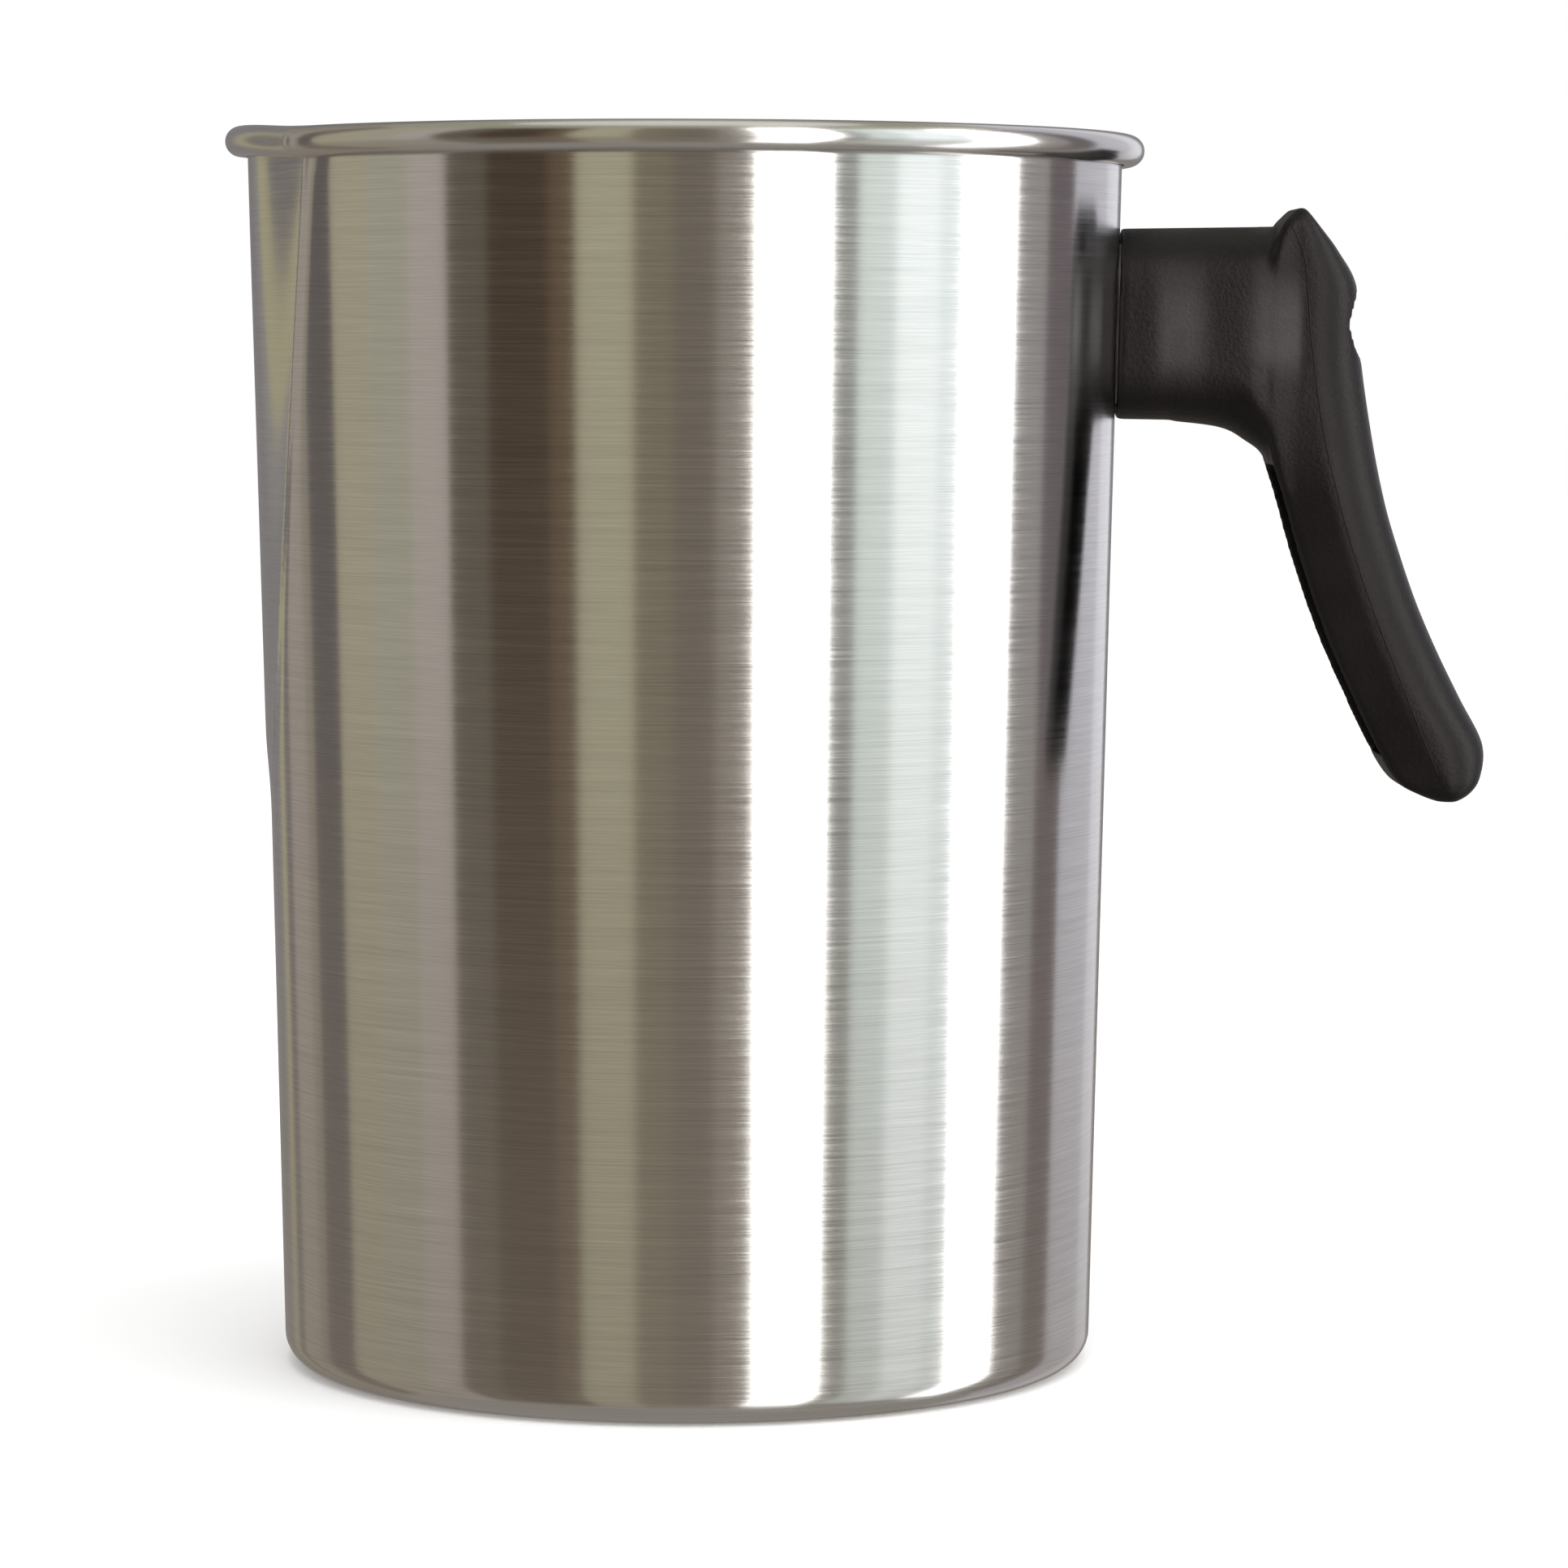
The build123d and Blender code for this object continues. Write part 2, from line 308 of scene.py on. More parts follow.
def plated(name, dark, light, roughness):
    """Bright zinc plate on a small fixing: turned rings, a faint cloudy bloom and nicks."""
    f = Finish(name)
    bloom = f.noise(f.place, 320.0, 4.0, 0.6)
    turned = f.noise(f.stretched(9000.0, 600.0, 600.0), 1.0, 2.0, 0.5)
    nicks = f.cells(f.place, 700.0).ramp(0.02, 0.10)
    colour = f.blend((bloom * 0.7 + turned * 0.3).ramp(0.3, 0.7), dark, light)
    f.set(
        base_color=colour,
        metallic=1.0,
        roughness=roughness + (bloom - 0.5) * 0.18 + (turned - 0.5) * 0.1,
        normal=f.bump((turned - 0.5) * 0.5 + nicks * 0.3, 0.25, 0.00006),
    )
    return f.material


def pale_floor():
    """Plain pale studio floor, with only a trace of unevenness."""
    f = Finish("pale floor")
    cloud = f.noise(f.place, 1.3, 3.0, 0.5)
    colour = f.blend(cloud, (0.93, 0.93, 0.935, 1), (0.95, 0.95, 0.95, 1))
    f.set(
        base_color=colour,
        roughness=0.75 + (cloud - 0.5) * 0.1,
        normal=f.bump(cloud, 0.02, 0.001),
        emission_color=(1.0, 1.0, 1.0, 1.0),
        emission_strength=0.10,
    )
    return f.material


def glow(name, colour, strength, haze=0.0):
    """A glowing card: lower down, its colour fades towards the dim colour of the room."""
    f = Finish(name)
    low = 1 - f.z.ramp(-0.55, 0.12)
    light = f.blend(low * haze, (*colour, 1.0), (*ROOM_COLOUR, 1.0))
    f.set(
        base_color=(0.0, 0.0, 0.0, 1.0),
        roughness=1.0,
        specular_ior_level=0.0,
        emission_color=light,
        emission_strength=strength,
    )
    return f.material


# ------------------------------------------------------------------ mesh helpers


def new_object(name, mesh):
    piece = bpy.data.objects.new(name, mesh)
    bpy.context.scene.collection.objects.link(piece)
    return piece


def mesh_from(name, points, faces):
    mesh = bpy.data.meshes.new(name)
    mesh.from_pydata([tuple(p) for p in points], [], faces)
    mesh.update()
    return mesh


def face_outwards(mesh):
    """Turn a closed shell's faces outwards."""
    shell = bmesh.new()
    shell.from_mesh(mesh)
    bmesh.ops.recalc_face_normals(shell, faces=shell.faces)
    shell.to_mesh(mesh)
    shell.free()


def smooth(mesh):
    mesh.shade_smooth()


def settle(piece):
    """Replace a piece's modifiers by their result."""
    depsgraph = bpy.context.evaluated_depsgraph_get()
    result = bpy.data.meshes.new_from_object(piece.evaluated_get(depsgraph), depsgraph=depsgraph)
    result.name = piece.name
    piece.modifiers.clear()
    old = piece.data
    piece.data = result
    bpy.data.meshes.remove(old)
    return result


def hand_over(piece, material, slot, *nodes):
    """Give a finished piece its material and its body, and hide the CAD nodes that it stands for."""
    piece.data.materials.clear()
    piece.data.materials.append(material)
    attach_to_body(piece, ROOT)
    if nodes:
        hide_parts(*nodes)


def lofted(name, rings):
    """A closed shell through rings of the same number of points."""
    count = len(rings[0])
    points = [p for ring in rings for p in ring]
    faces = []
    for row in range(len(rings) - 1):
        for i in range(count):
            j = (i + 1) % count
            base = row * count
            faces.append((base + i, base + j, base + count + j, base + count + i))
    faces.append(tuple(reversed(range(count))))
    last = (len(rings) - 1) * count
    faces.append(tuple(range(last, last + count)))
    mesh = mesh_from(name, points, faces)
    face_outwards(mesh)
    return mesh


def curve_through(points, share):
    """A point on a smooth curve through the given ones: share runs from 0 to 1."""
    spans = len(points) - 1
    at = min(share * spans, spans - 1e-9)
    i = int(at)
    t = at - i
    before = points[max(i - 1, 0)]
    after = points[min(i + 2, spans)]
    start = points[i]
    end = points[i + 1]
    return [
        0.5 * (2 * b + (c - a) * t + (2 * a - 5 * b + 4 * c - d) * t * t + (3 * b - a - 3 * c + d) * t ** 3)
        for a, b, c, d in zip(before, start, end, after)
    ]


# ------------------------------------------------------------------ geometry node trees


def new_tree(name, sizes):
    """A geometry tree with a geometry input, named sizes and a finish."""
    tree = bpy.data.node_groups.new(name, "GeometryNodeTree")
    face = tree.interface
    face.new_socket("Geometry", in_out="INPUT", socket_type="NodeSocketGeometry")
    for label, default in sizes.items():
        face.new_socket(label, in_out="INPUT", socket_type="NodeSocketFloat").default_value = default
    face.new_socket("Finish", in_out="INPUT", socket_type="NodeSocketMaterial")
    face.new_socket("Geometry", in_out="OUTPUT", socket_type="NodeSocketGeometry")
    start = tree.nodes.new("NodeGroupInput")
    size = {s.name: Sum(tree, s) for s in start.outputs if s.name}
    return tree, start.outputs["Geometry"], size


def end_tree(tree, geometry, finish):
    """Make the result real, give it its finish, and send it out."""
    real = add_node(tree, "GeometryNodeRealizeInstances", geometry=geometry)
    finished = add_node(tree, "GeometryNodeSetMaterial", geometry=real, material=finish)
    plug(tree, tree.nodes.new("NodeGroupOutput").inputs[0], finished)
    return tree


def attach(piece, tree, material=None, **sizes):
    """Put a tree on a piece and set its named sizes by their identifiers."""
    modifier = piece.modifiers.new(tree.name, "NODES")
    modifier.node_group = tree
    identifiers = {
        item.name: item.identifier
        for item in tree.interface.items_tree
        if item.item_type == "SOCKET" and item.in_out == "INPUT"
    }
    for label, value in sizes.items():
        modifier[identifiers[label.replace("_", " ")]] = value
    if material is not None:
        modifier[identifiers["Finish"]] = material
    return modifier


# The pressed spout, in metres and radians where not a share.
RIDGE_STRETCH = 0.4  # share used of the reach that would keep the sheet's length
FOOT_CREASE = 0.0055  # the crease's squared half-angle at the spout's foot
BOW_PEAK = 6.75  # brings share * (1 - share) ** 2 to a peak of one
FOOT_RUN_IN = 0.018
SPOUT_BLEND = radians(37.0)  # half-angle over which the rim rises to the tip


def spout_press_tree():
    """Press the spout into a turned can: inside the crease lines the wall is drawn flat
    towards a ridge, and the rim above rises to the tip."""
    sizes = {
        "Foot Height": 0.100,
        "Rim Height": 0.2244,
        "Half Angle": radians(32.5),
        "Base Radius": 0.075,
        "Wall Slope": 0.005 / 0.227,
        "Ridge Step": 0.00095,
        "Ridge Round": 0.020,
        "Crease Round": 0.0010,
        "Crease Widening": 0.0010,
        "Side Bow": 0.0008,
        "Rim Rise": 0.0015,
    }
    tree, can, size = new_tree("press the spout", sizes)
    foot = size["Foot Height"]
    parts = tree.nodes.new("ShaderNodeSeparateXYZ")
    plug(tree, parts.inputs[0], add_node(tree, "GeometryNodeInputPosition"))
    x, y, z = (Sum(tree, s) for s in parts.outputs)
    level = z.least(size["Rim Height"])
    radius = size["Base Radius"] + level * size["Wall Slope"]
    out = (x * x + y * y).root()
    side = abs(y.angle_to(-x))
    up = ((level - foot) / (size["Rim Height"] - foot)).most(0.0)
    crease = (1 - up * (1 - size["Half Angle"].cosine())).arccos()
    crease = (crease * crease + FOOT_CREASE).root()
    across = crease.sine()
    along = crease.cosine()
    full_reach = radius * ((crease * crease - across * across).most(0.0).root() + along - 1)
    tip = radius + size["Ridge Step"] + full_reach * RIDGE_STRETCH
    turn = (side * side + size["Ridge Round"] ** 2).root()
    chord = radius * across * turn.cosine() + (tip - radius * along) * turn.sine()
    flat = tip * radius * across / chord
    share = (turn / crease).least(1.0)
    flat = flat + size["Side Bow"] * up * share * (1 - share) * (1 - share) * BOW_PEAK
    rounding = size["Crease Round"] + size["Crease Widening"] * (up * up + z.ramp(0.215, 0.2235))
    rounding = rounding * up.ramp(0.0, 0.2) + 0.00004
    limit = radius + (1 - (side / crease).ramp(0.75, 1.0)) * 0.010
    pressed = flat.soft_least(limit, rounding)
    start_up = (z - foot).ramp(0.0, FOOT_RUN_IN)
    near = 1 - side.ramp(1.2, 1.4)
    shift = (pressed - radius) * start_up * near
    scale = (out + shift) / out.most(0.001)
    lift = size["Rim Rise"] * (1 - side.ramp(0.02, SPOUT_BLEND)) * z.ramp(0.205, 0.2225)
    moved = vector(tree, x * scale, y * scale, z + lift)
    put = add_node(tree, "GeometryNodeSetPosition", geometry=can, position=moved)
    return end_tree(tree, put, size["Finish"])


def bead_on_path_tree():
    """A fine round bead along a path, for the moulding's parting line."""
    tree, path, size = new_tree("bead along a path", {"Bead Radius": 0.00014, "Step": 0.0006})
    curve = add_node(tree, "GeometryNodeMeshToCurve", mesh=path)
    even = add_node(
        tree, "GeometryNodeResampleCurve", {"mode": "LENGTH"}, curve=curve, length=size["Step"]
    )
    ring = add_node(tree, "GeometryNodeCurvePrimitiveCircle", resolution=8, radius=size["Bead Radius"])
    bead = add_node(tree, "GeometryNodeCurveToMesh", curve=even, profile_curve=ring, fill_caps=True)
    return end_tree(tree, bead, size["Finish"])


def nugget_tree():
    """A low round nugget on the middle of every seed face. The normal is read where the faces
    have become points, so every nugget lies level."""
    tree, seeds, size = new_tree("weld nuggets", {"Nugget Radius": 0.0024, "Nugget Height": 0.00018})
    ball = add_node(tree, "GeometryNodeMeshUVSphere", segments=28, rings=14, radius=size["Nugget Radius"])
    squash = vector(tree, 1.0, 1.0, size["Nugget Height"] / size["Nugget Radius"])
    low = add_node(tree, "GeometryNodeTransform", geometry=ball, scale=squash)
    facing = add_node(tree, "GeometryNodeInputNormal")
    turn = add_node(tree, "FunctionNodeAlignRotationToVector", {"axis": "Z"}, vector=facing)
    centres = add_node(tree, "GeometryNodeMeshToPoints", {"mode": "FACES"}, mesh=seeds)
    spots = add_node(
        tree, "GeometryNodeInstanceOnPoints", points=centres, instance=low, rotation=turn
    )
    return end_tree(tree, spots, size["Finish"])


# ------------------------------------------------------------------ properties


class PotSizes(bpy.types.PropertyGroup):
    """Sizes of the can and its spout."""

    height: bpy.props.FloatProperty(
        name="Height", description="From the table to the top of the rim", default=0.227, unit="LENGTH"
    )
    base_radius: bpy.props.FloatProperty(
        name="Base radius", description="Wall radius at the base", default=0.075, unit="LENGTH"
    )
    mouth_radius: bpy.props.FloatProperty(
        name="Mouth radius", description="Wall radius at the rim", default=0.080, unit="LENGTH"
    )
    sheet: bpy.props.FloatProperty(
        name="Sheet", description="Thickness of the steel", default=0.0008, unit="LENGTH"
    )
    corner: bpy.props.FloatProperty(
        name="Corner", description="Radius between wall and base", default=0.0055, unit="LENGTH"
    )
    curl: bpy.props.FloatProperty(
        name="Curl", description="Outer radius of the rolled rim", default=0.0028, unit="LENGTH"
    )
    curl_offset: bpy.props.FloatProperty(
        name="Curl offset", description="Curl centre outside the wall", default=0.0012, unit="LENGTH"
    )
    spout_foot: bpy.props.FloatProperty(
        name="Spout foot", description="Height where the spout starts", default=0.100, unit="LENGTH"
    )
    spout_angle: bpy.props.FloatProperty(
        name="Spout half angle",
        description="Half its width at the rim",
        default=radians(32.5),
        subtype="ANGLE",
    )
    spout_rise: bpy.props.FloatProperty(
        name="Spout rise", description="How far the rim rises at the tip", default=0.0015, unit="LENGTH"
    )


class HandleSizes(bpy.types.PropertyGroup):
    """Sizes of the moulded handle."""

    width: bpy.props.FloatProperty(
        name="Width", description="Across the handle", default=0.021, unit="LENGTH"
    )
    neck_height: bpy.props.FloatProperty(
        name="Neck height", description="Height of the obround neck", default=0.035, unit="LENGTH"
    )
    neck_axis: bpy.props.FloatProperty(
        name="Neck axis", description="Height of the screw's axis", default=0.1926, unit="LENGTH"
    )
    grain: bpy.props.FloatProperty(
        name="Remesh step", description="Detail of the moulding's surface", default=0.00052, unit="LENGTH"
    )


class StudioLook(bpy.types.PropertyGroup):
    """The studio's light."""

    world: bpy.props.FloatProperty(
        name="World light", description="Strength of the even white light", default=1.0, min=0.0
    )
    cards: bpy.props.FloatProperty(
        name="Card light", description="Strength of the tent's cards", default=1.0, min=0.0
    )


# ------------------------------------------------------------------ the can


def arc_points(centre, radius, start, end, steps):
    """Points round an arc in the (radius, height) plane, from start to end in degrees."""
    return [
        (
            centre[0] + radius * cos(radians(start + (end - start) * i / steps)),
            centre[1] + radius * sin(radians(start + (end - start) * i / steps)),
        )
        for i in range(steps + 1)
    ]


def run_points(start, end, steps):
    """Points along a straight run, without its first one."""
    return [
        (start[0] + (end[0] - start[0]) * i / steps, start[1] + (end[1] - start[1]) * i / steps)
        for i in range(1, steps + 1)
    ]


def wall_slope(s):
    return (s.mouth_radius - s.base_radius) / s.height


def wall_radius(s, z):
    """The can's outer radius at a height, without its spout."""
    return s.base_radius + wall_slope(s) * z


def can_profile(s):
    """The can's cut edge as (radius, height): under the base, up the outside, round inside
    and outside the curl, down the inside and across the floor."""

    def wall(z, inset=0.0):
        return wall_radius(s, z) - inset

    rim = s.height - s.curl
    centre = (s.mouth_radius + s.curl_offset, rim)
    hollow = s.curl - s.sheet
    foot_out = (wall(s.corner) - s.corner, s.corner)
    foot_in = (foot_out[0], s.corner)
    points = [(0.0002, 0.0)]
    points += run_points(points[-1], (foot_out[0], 0.0), 10)
    points += arc_points(foot_out, s.corner, -90, 0, 9)[1:]
    points += run_points(points[-1], (wall(s.spout_foot), s.spout_foot), 24)
    points += run_points(points[-1], (wall(s.spout_foot + 0.016), s.spout_foot + 0.016), 14)
    points += run_points(points[-1], (wall(rim - 0.006), rim - 0.006), 34)
    points += run_points(points[-1], (wall(rim - 0.0012), rim - 0.0012), 4)
    points += arc_points(centre, hollow, 205, -108, 22)[1:]
    points += arc_points(centre, s.curl, -108, 165, 34)
    points += run_points(points[-1], (wall(rim - 0.0035, s.sheet), rim - 0.0035), 3)
    points += run_points(points[-1], (wall(s.spout_foot + 0.016, s.sheet), s.spout_foot + 0.016), 30)
    points += run_points(points[-1], (wall(s.spout_foot, s.sheet), s.spout_foot), 12)
    points += run_points(points[-1], (wall(s.corner, s.sheet), s.corner), 16)
    points += arc_points(foot_in, s.corner - s.sheet, 0, -90, 7)[1:]
    points += run_points(points[-1], (0.0002, s.sheet), 8)
    return points


def can_azimuths():
    """Angles round the can, close together where the spout is pressed."""
    fine = radians(40.0)
    fine_steps = 84
    wide_steps = 78
    half = [fine * i / fine_steps for i in range(fine_steps)]
    half += [fine + (pi - fine) * i / wide_steps for i in range(wide_steps + 1)]
    return half + [tau - a for a in reversed(half[1:-1])]


def turned_can(s):
    """The round can before its spout is pressed: the profile on every azimuth."""
    profile = can_profile(s)
    azimuths = can_azimuths()
    points = []
    for angle in azimuths:
        points += [(-r * cos(angle), r * sin(angle), z) for r, z in profile]
    rows = len(profile)
    columns = len(azimuths)
    faces = []
    for column in range(columns):
        here = column * rows
        there = (column + 1) % columns * rows
        for row in range(rows - 1):
            faces.append((here + row, there + row, there + row + 1, here + row + 1))
    under = len(points)
    points += [(0.0, 0.0, 0.0), (0.0, 0.0, s.sheet)]
    for column in range(columns):
        here = column * rows
        there = (column + 1) % columns * rows
        faces.append((under, there, here))
        faces.append((under + 1, here + rows - 1, there + rows - 1))
    mesh = mesh_from("pot_body_steel", points, faces)
    face_outwards(mesh)
    return mesh


class POT_OT_body(bpy.types.Operator):
    """Make the steel can: turned, then its spout pressed"""

    bl_idname = "melting_pot.body"
    bl_label = "Pot body"

    def execute(self, context):
        s = context.scene.pot_sizes
        piece = new_object("pot_body_steel", turned_can(s))
        steel = brushed_can()
        attach(
            piece,
            spout_press_tree(),
            steel,
            Foot_Height=s.spout_foot,
            Rim_Height=s.height - s.curl,
            Half_Angle=s.spout_angle,
            Base_Radius=s.base_radius,
            Wall_Slope=wall_slope(s),
            Rim_Rise=s.spout_rise,
        )
        smooth(settle(piece))
        hand_over(piece, steel, "steel", "pot_body")
        return {"FINISHED"}


WELD_REACH = 0.0122  # from the screw's axis to each spot weld, up and down


class POT_OT_welds(bpy.types.Operator):
    """Make the spot welds that show inside the wall behind the handle's bracket"""

    bl_idname = "melting_pot.welds"
    bl_label = "Spot welds"

    def execute(self, context):
        s = context.scene.pot_sizes
        axis = context.scene.handle_sizes.neck_axis
        seed = 0.00005
        points = []
        for z in (axis + WELD_REACH, axis - WELD_REACH):
            x = wall_radius(s, z) - s.sheet
            points += [(x, -seed, z - seed), (x, 0.0, z + seed), (x, seed, z - seed)]
        piece = new_object("weld_marks", mesh_from("weld_marks", points, [(0, 1, 2), (3, 4, 5)]))
        tint = weld_tint()
        attach(piece, nugget_tree(), tint)
        smooth(settle(piece))
        hand_over(piece, tint, "steel")
        return {"FINISHED"}


# ------------------------------------------------------------------ the handle


# Rungs across the grip's side view in millimetres, front edge to back edge, from the thumb
# peak down over the crown and the back to the toe, with each rung's back corner radius.
RUNGS = (
    (112.1, 214.0, 113.2, 214.0, 0.5),
    (110.6, 212.6, 114.5, 212.6, 1.8),
    (108.9, 210.6, 116.4, 210.3, 3.4),
    (107.3, 206.3, 119.9, 206.0, 6.2),
    (106.5, 199.8, 123.7, 199.2, 9.0),
    (106.1, 186.0, 124.6, 186.6, 10.2),
    (106.7, 171.6, 126.9, 171.4, 10.4),
    (109.6, 160.4, 129.4, 159.5, 10.4),
    (112.1, 151.4, 132.1, 150.5, 10.4),
    (115.1, 142.2, 135.3, 141.4, 10.4),
    (118.5, 133.2, 139.2, 132.4, 10.4),
    (122.6, 124.1, 143.7, 123.3, 10.4),
    (127.0, 115.0, 147.9, 114.9, 9.4),
    (131.2, 108.3, 147.3, 108.8, 7.0),
    (135.5, 105.7, 145.0, 105.7, 4.2),
    (139.0, 104.4, 142.2, 104.3, 1.3),
)
FRONT_TAPER = 1.45  # how much narrower each side is at the front than at the parting line
WIDEST = 9.2  # the parting line's distance behind the front edge
SOCKET_WALL = 2.4  # the neck's wall round the bracket's recess


def rung_ring(front_x, front_z, back_x, back_z, corner, half_width, across=14):
    """A closed ring round one rung: a round back, and a front half that tapers."""
    depth = hypot(back_x - front_x, back_z - front_z)
    dx = (back_x - front_x) / depth
    dz = (back_z - front_z) / depth
    middle = (front_z + back_z) / 2
    half_width -= 2.4 * max(0.0, (middle - 210.0) / 4.8) ** 2
    half_width -= 2.0 * max(0.0, (108.0 - middle) / 3.7) ** 2
    front_corner = min(1.4, depth * 0.35)
    corner = min(corner, depth * 0.6, half_width)
    widest = max(min(WIDEST, depth - corner), front_corner + 0.05)
    tapering = min(1.0, max(0.0, (178.0 - middle) / 20.0))
    narrow = half_width - FRONT_TAPER * tapering * widest / WIDEST
    nose = []
    for i in range(5):
        turn = pi / 2 * i / 5
        deep = front_corner - front_corner * cos(turn)
        nose.append((deep, narrow - front_corner + front_corner * sin(turn)))
    side = [
        (
            front_corner + (widest - front_corner) * i / 5,
            narrow + (half_width - narrow) * i / 5,
        )
        for i in range(5)
    ]
    back = []
    for i in range(across + 1):
        turn = pi / 2 * i / across
        back.append((depth - corner + corner * sin(turn), half_width - corner + corner * cos(turn)))
    upper = nose + side + [(widest, half_width)] + back
    ring = upper + [(d, -w) for d, w in reversed(upper)]
    return [(front_x + d * dx, w, front_z + d * dz) for d, w in ring]


def grip_shell(width):
    half = width / 2 / MM
    steps = 120
    rings = []
    for i in range(steps + 1):
        values = curve_through(RUNGS, i / steps)
        rings.append([Vector(p) * MM for p in rung_ring(*values, half)])
    return lofted("grip", rings)


def slot_ring(x, height, width, axis, steps=16):
    """An obround across the neck's axis, in millimetres."""
    radius = width / 2
    reach = height / 2 - radius
    ring = []
    for i in range(steps + 1):
        turn = pi * i / steps
        ring.append((x, radius * cos(turn), axis + reach + radius * sin(turn)))
    for i in range(steps + 1):
        turn = pi + pi * i / steps
        ring.append((x, radius * cos(turn), axis - reach + radius * sin(turn)))
    return [Vector(p) * MM for p in ring]


def slot_shell(name, near, far, near_size, far_size, axis):
    return lofted(name, [slot_ring(near, *near_size, axis), slot_ring(far, *far_size, axis)])


def round_bar(name, near, far, radius, axis, steps=48):
    rings = []
    for x in (near, far):
        rings.append(
            [
                Vector((x, radius * cos(tau * i / steps), axis + radius * sin(tau * i / steps))) * MM
                for i in range(steps)
            ]
        )
    return lofted(name, rings)


def wall_cone(gap, s, steps=360):
    """Everything inside the can's round wall, grown by a gap."""
    rings = []
    for z in (0.15, 0.235):
        radius = wall_radius(s, z) + gap
        turns = [tau * i / steps for i in range(steps)]
        rings.append([Vector((radius * cos(turn), radius * sin(turn), z)) for turn in turns])
    return lofted("wall cone", rings)


def channel_cutter(name, front_shift, depth, half_width, top, bottom):
    """A block that follows the grip's front edge: it starts ahead of the edge, and goes a
    depth behind it, between two heights."""
    fronts = [(r[0], r[1]) for r in RUNGS]
    rings = []
    steps = 30
    for i in range(steps + 1):
        z = bottom + (top - bottom) * i / steps
        x = front_at(fronts, z)
        low = x + front_shift
        high = x + depth
        rings.append(
            [
                Vector(p) * MM
                for p in (
                    (low, -half_width - 0.25, z),
                    (high - 1.2, -half_width, z),
                    (high, -half_width + 1.2, z),
                    (high, half_width - 1.2, z),
                    (high - 1.2, half_width, z),
                    (low, half_width + 0.25, z),
                )
            ]
        )
    return lofted(name, rings)


def front_at(fronts, z):
    for (x0, z0), (x1, z1) in zip(fronts, fronts[1:]):
        if z1 <= z <= z0:
            return x0 + (x1 - x0) * (z0 - z) / (z0 - z1)
    raise ValueError(f"no front edge at height {z}")


def combine(piece, mesh, operation):
    """Join or cut one shell with another."""
    tool = new_object("tool", mesh)
    step = piece.modifiers.new(operation.lower(), "BOOLEAN")
    step.operation = operation
    step.solver = "EXACT"
    step.object = tool
    settle(piece)
    bpy.data.objects.remove(tool)


def relax(piece, factor, rounds):
    step = piece.modifiers.new("soften", "SMOOTH")
    step.factor = factor
    step.iterations = rounds
    settle(piece)


def seam_path():
    """The parting line's run down the handle's side, in millimetres."""
    return (
        (110.3, 211.2),
        (111.8, 208.1),
        (113.0, 204.4),
        (113.7, 198.2),
        (114.1, 192.2),
        (114.8, 186.4),
        (115.8, 178.6),
        (117.3, 170.2),
        (119.4, 161.7),
        (121.6, 153.7),
        (124.4, 145.2),
        (127.8, 136.0),
        (131.0, 128.1),
        (134.4, 119.6),
        (136.7, 114.0),
        (138.6, 109.6),
    )


class POT_OT_handle(bpy.types.Operator):
    """Make the moulded handle with its channel, recess and screw bore, and its parting line"""

    bl_idname = "melting_pot.handle"
    bl_label = "Handle"

    def execute(self, context):
        s = context.scene.pot_sizes
        h = context.scene.handle_sizes
        axis = h.neck_axis / MM
        width = h.width / MM
        height = h.neck_height / MM
        piece = new_object("handle_moulding", grip_shell(h.width))
        neck = slot_shell("neck", 72.0, 112.0, (height, width - 0.6), (height + 1.2, width), axis)
        combine(piece, neck, "UNION")
        combine(piece, elbow_fill(), "UNION")
        combine(piece, wall_cone(0.3 * MM, s), "DIFFERENCE")
        combine(piece, channel_cutter("channel", -9.0, 5.0, 7.7, 166.5, 113.0), "DIFFERENCE")
        pockets = ((166.0, 156.0), (154.0, 144.0), (142.0, 132.0), (130.0, 116.0))
        for top, bottom in pockets:
            combine(piece, channel_cutter("pocket", 3.0, 13.0, 7.5, top, bottom), "DIFFERENCE")
        socket = (height - 2 * SOCKET_WALL, width - 2 * SOCKET_WALL)
        recess = slot_shell("recess", 60.0, 87.8, socket, socket, axis)
        combine(piece, recess, "DIFFERENCE")
        combine(piece, round_bar("bore", 80.0, 115.0, 3.4, axis), "DIFFERENCE")
        combine(piece, round_bar("head hole", 108.4, 140.0, 6.3, axis), "DIFFERENCE")
        step = piece.modifiers.new("even skin", "REMESH")
        step.mode = "VOXEL"
        step.voxel_size = h.grain
        settle(piece)
        relax(piece, 0.5, 10)
        black = moulded_black()
        smooth(piece.data)
        hand_over(piece, black, "handle_plastic", "handle")
        self.parting_line(piece, black)
        return {"FINISHED"}

    def parting_line(self, moulding, black):
        """Lay the path on both sides of the moulding and bead it."""
        points = []
        edges = []
        for side in (1.0, -1.0):
            first = len(points)
            steps = 150
            for i in range(steps + 1):
                x, z = curve_through(seam_path(), i / steps)
                start = Vector((x * MM, side * 0.03, z * MM))
                hit, where, _, _ = moulding.ray_cast(start, Vector((0.0, -side, 0.0)))
                if not hit:
                    raise RuntimeError("the parting line misses the moulding")
                points.append(where)
            edges += [(first + i, first + i + 1) for i in range(steps)]
        mesh = bpy.data.meshes.new("handle_parting_line")
        mesh.from_pydata(points, edges, [])
        line = new_object("handle_parting_line", mesh)
        attach(line, bead_on_path_tree(), black)
        face_outwards(settle(line))
        smooth(line.data)
        hand_over(line, black, "handle_plastic")


